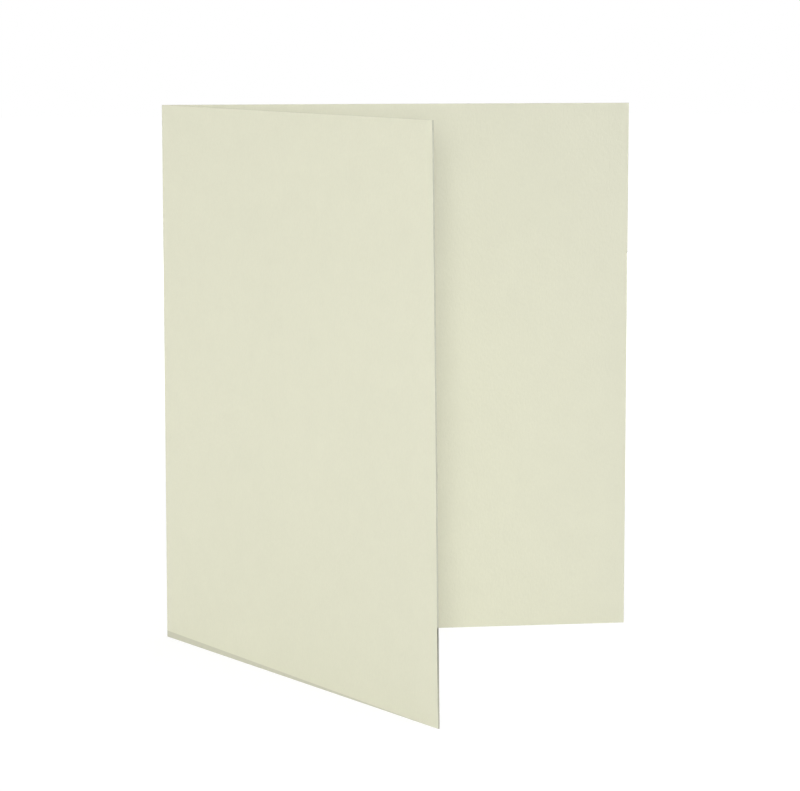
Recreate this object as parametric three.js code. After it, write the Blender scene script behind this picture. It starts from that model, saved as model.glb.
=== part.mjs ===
// A blank folded card: one sheet of ivory card stock, cut square, scored down its middle and folded once.
// It stands half open on its lower edges, with the fold upright at the left. The back leaf lies along X and
// faces -Y, and the front leaf opens from the fold towards -Y. Millimetres, +Z up, origin under the middle.

import * as THREE from 'three';

const { cos, sin, PI } = Math;
const { degToRad, lerp } = THREE.MathUtils;

// The sheet as it is cut, before the fold
const leafWidth = 132;
const leafHeight = 150;
const stockThickness = 0.5;

// The score: the rule presses the outer face in and pushes a soft bead out of the inner face
const scoreWidth = 1.5;
const scoreDepth = 0.1;
const beadRise = 0.2;

// The fold: the radius is that of the middle of the stock, and the angles lie between the two leaves
const foldRadius = 0.55;
const openingAtFoot = degToRad(63.2);
const openingAtTop = degToRad(64.1);

// How finely the sheet is divided: across the fold, across each leaf and up its height
const foldColumns = 16;
const frontLeafColumns = 10;
const backLeafColumns = 2;
const heightRows = 12;

// How far the fold turns the front leaf out of the back leaf's plane, at a height on the sheet
function turnAt(height) {
  return PI - lerp(openingAtFoot, openingAtTop, height / leafHeight);
}

// The bent stretch of the sheet, measured along the middle of the stock
const widestTurn = PI - Math.min(openingAtFoot, openingAtTop);
const bendStart = foldRadius * widestTurn / 2;
const foldZone = Math.max(widestTurn * foldRadius, scoreWidth) / 2;

// Lines across the sheet, from the front leaf's free edge to the back leaf's, as distances from the score
function columnPlaces() {
  const places = [];
  for (let i = 0; i < frontLeafColumns; i++) {
    places.push(lerp(-leafWidth, -foldZone, i / frontLeafColumns));
  }
  for (let i = 0; i < foldColumns; i++) {
    places.push(lerp(-foldZone, foldZone, i / foldColumns));
  }
  for (let i = 0; i <= backLeafColumns; i++) {
    places.push(lerp(foldZone, leafWidth, i / backLeafColumns));
  }
  return places;
}

// How deep the scoring rule went beside the score line: 1 on the line, 0 at the rule's edges
function rulePressure(across) {
  if (Math.abs(across) >= scoreWidth / 2) {
    return 0;
  }
  return cos(PI * across / scoreWidth) ** 2;
}

// Folds one point of the flat sheet: across is the distance from the score, positive on the back leaf,
// and outward the distance from the middle of the stock towards the card's outside.
function foldedPoint(across, outward, height) {
  const turn = turnAt(height);
  const radius = foldRadius + outward;
  if (across >= bendStart) {
    return new THREE.Vector3(across - bendStart, radius, height);
  }
  const turned = Math.min((bendStart - across) / foldRadius, turn);
  const alongFrontLeaf = Math.max(bendStart - foldRadius * turn - across, 0);
  return new THREE.Vector3(
    -radius * sin(turned) + alongFrontLeaf * cos(PI - turn),
    radius * cos(turned) - alongFrontLeaf * sin(PI - turn),
    height,
  );
}

// The sheet starts as a box with one column for each line across it, and each corner is scored and folded
function foldedSheet() {
  const places = columnPlaces();
  const columns = places.length - 1;
  const geometry = new THREE.BoxGeometry(columns, 1, leafHeight, columns, 1, heightRows);
  const corners = geometry.attributes.position;
  for (let i = 0; i < corners.count; i++) {
    const across = places[Math.round(corners.getX(i) + columns / 2)];
    const onOutside = corners.getY(i) > 0;
    const pressedIn = rulePressure(across) * (onOutside ? scoreDepth : beadRise);
    const outward = (onOutside ? 0.5 : -0.5) * stockThickness - pressedIn;
    const height = corners.getZ(i) + leafHeight / 2;
    const point = foldedPoint(across, outward, height);
    corners.setXYZ(i, point.x, point.y, point.z);
  }
  geometry.computeVertexNormals();
  geometry.computeBoundingBox();
  return geometry;
}

const ivoryStock = new THREE.MeshStandardMaterial({
  color: new THREE.Color().setRGB(0.88, 0.88, 0.79, THREE.SRGBColorSpace),
  roughness: 0.85,
  metalness: 0,
});

const card = new THREE.Mesh(foldedSheet(), ivoryStock);
card.name = 'folded_card';

// The origin lies on the ground under the middle of the standing card
const middle = card.geometry.boundingBox.getCenter(new THREE.Vector3());
card.position.set(-middle.x, -middle.y, 0);

const part = new THREE.Group();
part.name = 'folded_card_part';
part.add(card);

export default part;
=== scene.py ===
# A blank ivory card, folded once and standing half open on its lower edges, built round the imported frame.
# Metres, +Z up. The back leaf lies along X, its inside towards -Y, and the front leaf opens from the fold at
# the left.

import math

import bpy
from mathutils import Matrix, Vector, noise


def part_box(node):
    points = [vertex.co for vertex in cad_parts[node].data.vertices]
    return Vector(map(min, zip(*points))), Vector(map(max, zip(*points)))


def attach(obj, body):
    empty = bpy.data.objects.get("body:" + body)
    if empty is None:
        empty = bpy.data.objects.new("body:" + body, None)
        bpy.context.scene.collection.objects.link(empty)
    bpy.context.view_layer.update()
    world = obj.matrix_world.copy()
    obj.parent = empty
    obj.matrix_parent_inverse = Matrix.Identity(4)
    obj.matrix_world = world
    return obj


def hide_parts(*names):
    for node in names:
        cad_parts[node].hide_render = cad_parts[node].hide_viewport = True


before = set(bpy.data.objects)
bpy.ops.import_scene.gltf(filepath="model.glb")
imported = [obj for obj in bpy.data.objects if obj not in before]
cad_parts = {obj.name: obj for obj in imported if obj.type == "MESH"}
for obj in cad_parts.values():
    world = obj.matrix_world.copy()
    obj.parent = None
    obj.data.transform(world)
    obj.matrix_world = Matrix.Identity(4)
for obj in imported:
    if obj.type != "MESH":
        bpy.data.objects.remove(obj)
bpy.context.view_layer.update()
card_low, card_high = (Vector(corner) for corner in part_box("folded_card"))

MM = 0.001

# The sheet as it is cut, its score and its fold, as in the part's source
LEAF_WIDTH = 132 * MM
LEAF_HEIGHT = card_high.z - card_low.z
STOCK = 0.5 * MM
SCORE_WIDTH = 1.5 * MM
SCORE_DEPTH = 0.1 * MM
BEAD_RISE = 0.2 * MM
FOLD_RADIUS = 0.55 * MM
OPENING_AT_FOOT = math.radians(63.2)
OPENING_AT_TOP = math.radians(64.1)

# What the source leaves to this script: the shoulders beside the score, rounded cut edges, slight waves
SHOULDER_RISE = 0.03 * MM
SHOULDER_WIDTH = 1.0 * MM
CUT_ROUNDING = 0.03 * MM
WAVE_HEIGHT = 0.1 * MM
WAVE_LENGTH = 75 * MM
WAVE_FREE_FOOT = 12 * MM
WAVE_CHOICE = 0.37

# The longest sides of the mesh's cells: along the leaves, and across the fold
CELL = 1.5 * MM
FOLD_CELL = 0.06 * MM

# The sheet's UV map is its flat outline, to scale: the outside below, and the inside above it after a gap
SHEET_GAP = 10 * MM
FLAT_SCALE = 1 / (2 * LEAF_HEIGHT + SHEET_GAP)

# The bent stretch of the sheet, measured along the middle of the stock, and the point that it bends round
WIDEST_TURN = math.pi - min(OPENING_AT_FOOT, OPENING_AT_TOP)
BEND_START = FOLD_RADIUS * WIDEST_TURN / 2
FOLD_ZONE = max(WIDEST_TURN * FOLD_RADIUS, SCORE_WIDTH) / 2 + SHOULDER_WIDTH
BEND_CENTRE = Vector((card_high.x - (LEAF_WIDTH - BEND_START), card_high.y - FOLD_RADIUS - STOCK / 2))


def steps(start, end, longest):
    """Places from start up to end, end left out, no further apart than longest."""
    count = math.ceil((end - start) / longest)
    return [start + (end - start) * i / count for i in range(count)]


def turn_at(height):
    """How far the fold turns the front leaf out of the back leaf's plane, at a height on the sheet."""
    opening = OPENING_AT_FOOT + (OPENING_AT_TOP - OPENING_AT_FOOT) * height / LEAF_HEIGHT
    return math.pi - opening


def rule_pressure(across):
    """How deep the scoring rule went beside the score: 1 on its line, 0 at the rule's edges."""
    if abs(across) >= SCORE_WIDTH / 2:
        return 0.0
    return math.cos(math.pi * across / SCORE_WIDTH) ** 2


def shoulder(across):
    """The faint ridge that the rule raises on both sides of the score: 1 on its crest."""
    beside = (abs(across) - SCORE_WIDTH / 2) / SHOULDER_WIDTH
    if not 0 < beside < 1:
        return 0.0
    return math.sin(math.pi * beside) ** 2


def wave(across, height):
    """The slight unevenness of a real leaf. It dies out at the fold and at the foot."""
    from_fold = min(max(abs(across) - FOLD_ZONE, 0) / WAVE_LENGTH, 1)
    from_foot = min(height / WAVE_FREE_FOOT, 1)
    place = Vector((across / WAVE_LENGTH, height / WAVE_LENGTH, WAVE_CHOICE))
    return WAVE_HEIGHT * from_fold * from_foot * noise.noise(place)


def folded_point(across, outward, height):
    """Folds one point of the flat sheet: across is positive on the back leaf, outward on the outside."""
    turn = turn_at(height)
    radius = FOLD_RADIUS + outward
    if across >= BEND_START:
        x, y = across - BEND_START, radius
    else:
        turned = min((BEND_START - across) / FOLD_RADIUS, turn)
        along = max(BEND_START - FOLD_RADIUS * turn - across, 0)
        x = -radius * math.sin(turned) + along * math.cos(math.pi - turn)
        y = radius * math.cos(turned) - along * math.sin(math.pi - turn)
    return Vector((BEND_CENTRE.x + x, BEND_CENTRE.y + y, card_low.z + height))


def sheet_point(across, outside, height):
    """A point of the outer or inner face, scored, waved and folded."""
    if outside:
        outward = STOCK / 2 - SCORE_DEPTH * rule_pressure(across) + SHOULDER_RISE * shoulder(across)
    else:
        outward = -STOCK / 2 - BEAD_RISE * rule_pressure(across)
    return folded_point(across, outward + wave(across, height), height)


def flat_place(across, outside, height):
    """Where that point lies on the UV map."""
    above = 0 if outside else LEAF_HEIGHT + SHEET_GAP
    return (across + LEAF_WIDTH) * FLAT_SCALE, (height + above) * FLAT_SCALE


def sheet_faces(column_count, row_count):
    """The mesh's faces, wound to face outwards: those of the two sides, and those of the cut edges."""

    def corner(outside, row, column):
        return (row_count * outside + row) * column_count + column

    sides = []
    for row in range(row_count - 1):
        for column in range(column_count - 1):
            for outside in (False, True):
                a = corner(outside, row, column)
                b = corner(outside, row, column + 1)
                c = corner(outside, row + 1, column + 1)
                d = corner(outside, row + 1, column)
                sides.append((a, d, c, b) if outside else (a, b, c, d))

    cut_edges = []
    for column in range(column_count - 1):
        for row, at_top in ((0, False), (row_count - 1, True)):
            a, b = corner(False, row, column), corner(False, row, column + 1)
            c, d = corner(True, row, column + 1), corner(True, row, column)
            cut_edges.append((a, b, c, d) if at_top else (a, d, c, b))
    for row in range(row_count - 1):
        for column, at_back_leaf in ((0, False), (column_count - 1, True)):
            a, b = corner(False, row, column), corner(False, row + 1, column)
            c, d = corner(True, row + 1, column), corner(True, row, column)
            cut_edges.append((a, d, c, b) if at_back_leaf else (a, b, c, d))
    return sides, cut_edges


def make_sheet():
    """The whole card as one closed mesh: two sides on a grid, joined round the rim by the cut edges."""
    columns = steps(-LEAF_WIDTH, -FOLD_ZONE, CELL)
    columns += steps(-FOLD_ZONE, FOLD_ZONE, FOLD_CELL)
    columns += steps(FOLD_ZONE, LEAF_WIDTH, CELL) + [LEAF_WIDTH]
    rows = steps(0, LEAF_HEIGHT, CELL) + [LEAF_HEIGHT]
    grid = [(across, outside, height) for outside in (False, True) for height in rows for across in columns]
    sides, cut_edges = sheet_faces(len(columns), len(rows))

    mesh = bpy.data.meshes.new("card_sheet")
    mesh.from_pydata([sheet_point(*place) for place in grid], [], sides + cut_edges)
    flat_sheet = mesh.uv_layers.new(name="flat_sheet")
    for loop in mesh.loops:
        flat_sheet.data[loop.index].uv = flat_place(*grid[loop.vertex_index])
    for face in mesh.polygons:
        face.use_smooth = True
        face.material_index = int(face.index >= len(sides))
    mesh.validate()
    mesh.update()
    sheet = bpy.data.objects.new("card_sheet", mesh)
    bpy.context.collection.objects.link(sheet)

    rounding = sheet.modifiers.new("cut edge rounding", "BEVEL")
    rounding.width = CUT_ROUNDING
    rounding.segments = 2
    rounding.limit_method = "ANGLE"
    rounding.angle_limit = math.radians(60)
    rounding.harden_normals = True
    return sheet


def node(tree, kind, place, **inputs):
    """Adds a shader node and sets its sockets: a value, or the output socket that feeds it."""
    made = tree.nodes.new(kind)
    made.location = place
    for name, value in inputs.items():
        put(tree, value, made.inputs[name.replace("_", " ")])
    return made


def put(tree, value, socket):
    """Sets a socket to a value, or links it to the output socket that feeds it."""
    if isinstance(value, bpy.types.NodeSocket):
        tree.links.new(value, socket)
    else:
        socket.default_value = value


def calculate(tree, operation, place, *values, clamp=False):
    """A maths node on values or output sockets."""
    made = tree.nodes.new("ShaderNodeMath")
    made.operation = operation
    made.use_clamp = clamp
    made.location = place
    for socket, value in zip(made.inputs, values):
        put(tree, value, socket)
    return made.outputs[0]


# The paper's colours in linear light: its faces, and its cut edges, which are darker partly for their rough
# cut fibres and partly as painted shade
IVORY = (0.745, 0.742, 0.584)
CUT_IVORY_PARTLY_SHADED = (0.505, 0.5, 0.395)

# How fine the paper's patterns are, as repeats in a metre: a slow drift of tone, the clouds of its fibres,
# the fibres themselves, which lie along the upright grain, and the tooth of its surface
DRIFTS = 22.0
CLOUDS = 160.0
FIBRES = 2600.0
TOOTH = 900.0
ACROSS_GRAIN = (1.0, 1.0, 0.35)
RELIEF = 0.06 * MM

# The patterns' noise lies mostly between these values
NOISE_LOW = 0.25
NOISE_HIGH = 0.75

# Painted shade: the darker band at the front leaf's foot stands for shade, not for the paper's colour. Its
# tone beside the face's, its height at the fold, its soft upper edge, and how far from the fold it has
# tapered away
FOOT_SHADE_TONE = 0.82
FOOT_SHADE_HEIGHT = 1.85 * MM
FOOT_SHADE_SOFTNESS = 0.15 * MM
FOOT_SHADE_LENGTH = 138 * MM

# Painted shade on the front leaf's free cut edge: a darker stretch that stands for shade, not for the
# paper's colour. Its tone beside the rest, at its soft upper end, and how high that end is. From there it
# fades towards the foot.
STRETCH_SHADE_TONE = 0.35
SHADE_STRETCH_HEIGHT = 25.7 * MM
SHADE_STRETCH_SOFTNESS = 0.5 * MM


def painted_foot_shade(tree):
    """Painted shade: a darker tone in the band along the foot of the front leaf's outside, and 1 elsewhere.
    """
    flat = node(tree, "ShaderNodeUVMap", (-1700, 900))
    flat.uv_map = "flat_sheet"
    parts = node(tree, "ShaderNodeSeparateXYZ", (-1500, 900), Vector=flat.outputs[0])
    height = calculate(tree, "DIVIDE", (-1300, 800), parts.outputs[1], FLAT_SCALE)
    along = calculate(tree, "DIVIDE", (-1300, 1000), parts.outputs[0], FLAT_SCALE)
    from_fold = calculate(tree, "SUBTRACT", (-1100, 1000), LEAF_WIDTH, along)
    on_front_leaf = calculate(tree, "GREATER_THAN", (-900, 1150), from_fold, 0.0)
    lost_height = calculate(tree, "MULTIPLY", (-900, 1000), from_fold, FOOT_SHADE_HEIGHT / FOOT_SHADE_LENGTH)
    top = calculate(tree, "SUBTRACT", (-700, 1000), FOOT_SHADE_HEIGHT, lost_height)
    below_top = calculate(tree, "SUBTRACT", (-500, 900), top, height)
    within = calculate(tree, "DIVIDE", (-300, 900), below_top, FOOT_SHADE_SOFTNESS, clamp=True)
    within = calculate(tree, "MULTIPLY", (-100, 1000), within, on_front_leaf)
    darker = calculate(tree, "MULTIPLY", (100, 900), within, 1 - FOOT_SHADE_TONE)
    return calculate(tree, "SUBTRACT", (300, 900), 1.0, darker)


def painted_free_edge_shade(tree):
    """Painted shade: the stretch's darkest tone at its upper end, fading to 1 at the foot, and 1 elsewhere.
    Of the two free edges, only the front leaf's stands in front of the card's middle."""
    place = node(tree, "ShaderNodeTexCoord", (-1700, 900)).outputs["Object"]
    parts = node(tree, "ShaderNodeSeparateXYZ", (-1500, 900), Vector=place)
    depth, height = parts.outputs[1], parts.outputs[2]
    in_front = calculate(tree, "LESS_THAN", (-1300, 1000), depth, 0.0)
    below_top = calculate(tree, "SUBTRACT", (-1300, 800), SHADE_STRETCH_HEIGHT, height)
    within = calculate(tree, "DIVIDE", (-1100, 800), below_top, SHADE_STRETCH_SOFTNESS, clamp=True)
    within = calculate(tree, "MULTIPLY", (-900, 900), within, in_front)
    rise = calculate(tree, "DIVIDE", (-900, 700), height, SHADE_STRETCH_HEIGHT, clamp=True)
    share = calculate(tree, "MULTIPLY", (-700, 800), within, rise)
    darker = calculate(tree, "MULTIPLY", (-500, 800), share, 1 - STRETCH_SHADE_TONE)
    return calculate(tree, "SUBTRACT", (-300, 800), 1.0, darker)


def stray(tree, place, pattern, spread):
    """Turns a pattern into a factor that strays from 1 by up to spread."""
    factor = node(tree, "ShaderNodeMapRange", place, Value=pattern.outputs["Fac"])
    put(tree, NOISE_LOW, factor.inputs["From Min"])
    put(tree, NOISE_HIGH, factor.inputs["From Max"])
    put(tree, 1 - spread, factor.inputs["To Min"])
    put(tree, 1 + spread, factor.inputs["To Max"])
    return factor.outputs[0]


def paper(name, colour, roughness, cloudiness, flecks, tooth, painted_shade_part):
    """Uncoated board: cloudy fibre formation, fine flecks, and a soft tooth drawn out along the grain. The
    function given for its darker part makes the nodes for its painted shade, a darker tone that stands for
    shade."""
    material = bpy.data.materials.new(name)
    material.use_nodes = True
    tree = material.node_tree
    tree.nodes.clear()
    place = node(tree, "ShaderNodeTexCoord", (-1300, 0)).outputs["Object"]
    grain = node(tree, "ShaderNodeMapping", (-1100, -200), Vector=place, Scale=ACROSS_GRAIN).outputs[0]

    def pattern(y, vector, scale, detail, roughness):
        made = node(tree, "ShaderNodeTexNoise", (-900, y), Vector=vector, Scale=scale)
        put(tree, detail, made.inputs["Detail"])
        put(tree, roughness, made.inputs["Roughness"])
        return made

    drift = pattern(600, place, DRIFTS, detail=2.0, roughness=0.5)
    clouds = pattern(300, place, CLOUDS, detail=4.0, roughness=0.6)
    fibres = pattern(-100, grain, FIBRES, detail=5.0, roughness=0.62)
    rough_surface = pattern(-400, place, TOOTH, detail=3.0, roughness=0.5)

    cloud_tone = stray(tree, (-650, 300), clouds, cloudiness)
    drift_tone = stray(tree, (-650, 600), drift, cloudiness * 0.7)
    fleck_tone = stray(tree, (-650, 0), fibres, flecks)
    tone = calculate(tree, "MULTIPLY", (-430, 400), cloud_tone, drift_tone)
    tone = calculate(tree, "MULTIPLY", (-430, 200), tone, fleck_tone)
    # Painted shade: the darker part lowers the tone where shade is painted.
    tone = calculate(tree, "MULTIPLY", (-430, 0), tone, painted_shade_part(tree))
    tint = node(tree, "ShaderNodeVectorMath", (-200, 200), Vector=colour)
    tint.operation = "SCALE"
    put(tree, tone, tint.inputs["Scale"])

    relief = calculate(tree, "ADD", (-430, -300), fibres.outputs["Fac"], rough_surface.outputs["Fac"])
    bumps = node(tree, "ShaderNodeBump", (-200, -300), Height=relief, Distance=RELIEF, Strength=tooth)

    surface = node(tree, "ShaderNodeBsdfPrincipled", (50, 0), Roughness=roughness, Normal=bumps.outputs[0])
    put(tree, tint.outputs[0], surface.inputs["Base Color"])
    put(tree, 0.25, surface.inputs["Specular IOR Level"])
    node(tree, "ShaderNodeOutputMaterial", (350, 0), Surface=surface.outputs[0])
    return material


def make_card():
    """The card's sheet with its face and cut edge, in place of the plain solid."""
    sheet = make_sheet()
    # The face's darker part is painted shade along the front leaf's foot.
    face = paper(
        "card_face", IVORY,
        roughness=0.82, cloudiness=0.01, flecks=0.02, tooth=0.6, painted_shade_part=painted_foot_shade,
    )
    # The cut edge's darker part is painted shade on the lower stretch of the front leaf's free edge.
    cut_edge = paper(
        # The cut edge's colour is partly painted shade.
        "card_cut_edge", CUT_IVORY_PARTLY_SHADED,
        roughness=0.95, cloudiness=0.02, flecks=0.06, tooth=1.0, painted_shade_part=painted_free_edge_shade,
    )
    sheet.data.materials.append(face)
    sheet.data.materials.append(cut_edge)
    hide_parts("folded_card")
    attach(sheet, "root")


# The camera, fitted to the card's corners in the photo: it looks a little down and to the right
CAMERA_PLACE = Vector((-0.1170, -0.7622, 0.1771))
CAMERA_TURN = math.radians(-8.146)
CAMERA_TILT = math.radians(-7.519)
CAMERA_LENS = 132.71


def make_camera():
    camera = bpy.data.objects.new("camera", bpy.data.cameras.new("camera"))
    bpy.context.collection.objects.link(camera)
    camera.location = CAMERA_PLACE
    camera.rotation_euler = (math.pi / 2 + CAMERA_TILT, 0, CAMERA_TURN)
    camera.data.lens = CAMERA_LENS
    camera.data.sensor_width = 36
    camera.data.clip_start = 0.01
    camera.data.clip_end = 50
    bpy.context.scene.camera = camera


# Light from one leaf yellows the other, so the lamps on the inside of the card are a little cool
WHITE = (1.0, 1.0, 1.0)
COOL = (0.97, 0.98, 1.13)

# What the lamps shine at: the front leaf's middle, the back leaf's open part, and the ground
FRONT_LEAF_AIM = Vector((-0.037, 0.0, 0.075))
BACK_LEAF_AIM = Vector((0.02, 0.059, 0.075))
GROUND_AIM = Vector((0.0, 0.0, 0.0))

# The lamp at the camera: how far behind it and above it, and its width, which sets how soft the shadow is
CAMERA_LAMP_BEHIND = 0.03
CAMERA_LAMP_LIFT = 0.025
CAMERA_LAMP_WIDTH = 0.107

# The light from all round
FILL = 0.12


def lamp_at(name, place, aim, width, tall, energy, colour=WHITE):
    """A soft lamp that isn't seen itself: a rectangle, or a round one where it has no height of its own."""
    data = bpy.data.lights.new(name, "AREA")
    data.shape = "DISK" if tall is None else "RECTANGLE"
    data.size = width
    if tall is not None:
        data.size_y = tall
    data.energy = energy
    data.color = colour
    lamp = bpy.data.objects.new(name, data)
    bpy.context.collection.objects.link(lamp)
    lamp.location = place
    lamp.rotation_euler = (aim - place).to_track_quat("-Z", "Y").to_euler()
    lamp.visible_camera = False


def lamp_round(name, aim, turn, distance, height, width, tall, energy, colour=WHITE):
    """A lamp at a distance from its aim and a height above the ground. Its turn is how many degrees it
    stands to the right of straight in front of the back leaf."""
    angle = math.radians(turn)
    place = Vector((aim.x + distance * math.sin(angle), aim.y - distance * math.cos(angle), height))
    lamp_at(name, place, aim, width, tall, energy, colour)


def make_lamps():
    """The camera lamp gives the narrow shadow beside the front leaf's free edge. The left lamp lights only
    the front leaf's outside, and the right and side lamps light the inside with no shadow in the camera's
    view. The rear lamp lights the back, and the top lamp the ground and the upper cut edges."""
    ahead = (BACK_LEAF_AIM - CAMERA_PLACE).normalized()
    at_camera = CAMERA_PLACE - ahead * CAMERA_LAMP_BEHIND + Vector((0, 0, CAMERA_LAMP_LIFT))
    lamp_at("camera_lamp", at_camera, BACK_LEAF_AIM, CAMERA_LAMP_WIDTH, None, energy=2.65)
    lamp_round(
        "left_lamp", FRONT_LEAF_AIM, turn=-88, distance=0.55, height=0.05,
        width=0.25, tall=0.1, energy=1.08,
    )
    lamp_round(
        "right_lamp", BACK_LEAF_AIM, turn=16, distance=1.6, height=0.3,
        width=0.35, tall=0.2, energy=2.5, colour=COOL,
    )
    lamp_round(
        "side_lamp", BACK_LEAF_AIM, turn=76, distance=1.0, height=0.1,
        width=0.3, tall=0.2, energy=3.0, colour=COOL,
    )
    lamp_round(
        "rear_lamp", BACK_LEAF_AIM, turn=162, distance=1.3, height=0.1,
        width=0.5, tall=0.2, energy=9.0,
    )
    lamp_at("top_lamp", Vector((0.0, 0.0, 1.3)), GROUND_AIM, width=1.2, tall=1.2, energy=12.0)


def seen_directly(tree):
    """1 for a ray from the camera, off a glossy surface or through a clear one, and 0 for the rest."""
    path = node(tree, "ShaderNodeLightPath", (-1000, 300))
    seen = path.outputs["Is Camera Ray"]
    seen = calculate(tree, "MAXIMUM", (-800, 300), seen, path.outputs["Is Glossy Ray"])
    return calculate(tree, "MAXIMUM", (-620, 300), seen, path.outputs["Is Transmission Ray"])


def make_world():
    """An even, weak fill from all round, white where the camera or a reflection sees it."""
    world = bpy.data.worlds.new("studio")
    bpy.context.scene.world = world
    world.use_nodes = True
    tree = world.node_tree
    tree.nodes.clear()
    fill = node(tree, "ShaderNodeBackground", (-200, 0), Color=(*WHITE, 1.0), Strength=FILL)
    white = node(tree, "ShaderNodeBackground", (-200, -150), Color=(*WHITE, 1.0), Strength=1.0)
    mixed = node(tree, "ShaderNodeMixShader", (0, 0))
    put(tree, seen_directly(tree), mixed.inputs[0])
    put(tree, fill.outputs[0], mixed.inputs[1])
    put(tree, white.outputs[0], mixed.inputs[2])
    node(tree, "ShaderNodeOutputWorld", (200, 0), Surface=mixed.outputs[0])


# The floor: how much of the card's light and shadow it shows, and how much it throws back. Near the card it
# glows a little less than white, and its light and shadow make up the rest.
FLOOR_SIZE = 8.0
FLOOR_SEEN = 0.25
FLOOR_BOUNCE = 0.74
GLOW_NEAR = 0.8
GLOW_FAR = 1.0
GLOW_NEAR_REACH = 0.25
GLOW_FAR_REACH = 0.6


def floor_material():
    """White, with a glow that only what sees it directly gets, and a faint shadow of the card."""
    material = bpy.data.materials.new("floor")
    material.use_nodes = True
    tree = material.node_tree
    tree.nodes.clear()
    seen = seen_directly(tree)
    tone = node(tree, "ShaderNodeMapRange", (-400, 200), Value=seen, To_Min=FLOOR_BOUNCE, To_Max=FLOOR_SEEN)
    diffuse = node(tree, "ShaderNodeBsdfDiffuse", (-150, 200), Color=tone.outputs[0])

    place = node(tree, "ShaderNodeTexCoord", (-1000, -200)).outputs["Object"]
    reach = node(tree, "ShaderNodeVectorMath", (-800, -200), Vector=place)
    reach.operation = "LENGTH"
    level = node(tree, "ShaderNodeMapRange", (-600, -200), Value=reach.outputs["Value"])
    level.interpolation_type = "SMOOTHSTEP"
    put(tree, GLOW_NEAR_REACH, level.inputs["From Min"])
    put(tree, GLOW_FAR_REACH, level.inputs["From Max"])
    put(tree, GLOW_NEAR, level.inputs["To Min"])
    put(tree, GLOW_FAR, level.inputs["To Max"])
    strength = calculate(tree, "MULTIPLY", (-400, -150), seen, level.outputs[0])
    glow = node(tree, "ShaderNodeEmission", (-150, -100), Strength=strength)

    both = node(tree, "ShaderNodeAddShader", (50, 0))
    put(tree, diffuse.outputs[0], both.inputs[0])
    put(tree, glow.outputs[0], both.inputs[1])
    node(tree, "ShaderNodeOutputMaterial", (250, 0), Surface=both.outputs[0])
    return material


def make_floor():
    half = FLOOR_SIZE / 2
    corners = [(-half, -half, 0), (half, -half, 0), (half, half, 0), (-half, half, 0)]
    mesh = bpy.data.meshes.new("floor")
    mesh.from_pydata(corners, [], [(0, 1, 2, 3)])
    mesh.materials.append(floor_material())
    floor = bpy.data.objects.new("floor", mesh)
    bpy.context.collection.objects.link(floor)
    floor.location.z = card_low.z


bpy.context.scene.view_settings.view_transform = "Standard"
make_camera()
make_card()
make_floor()
make_world()
make_lamps()
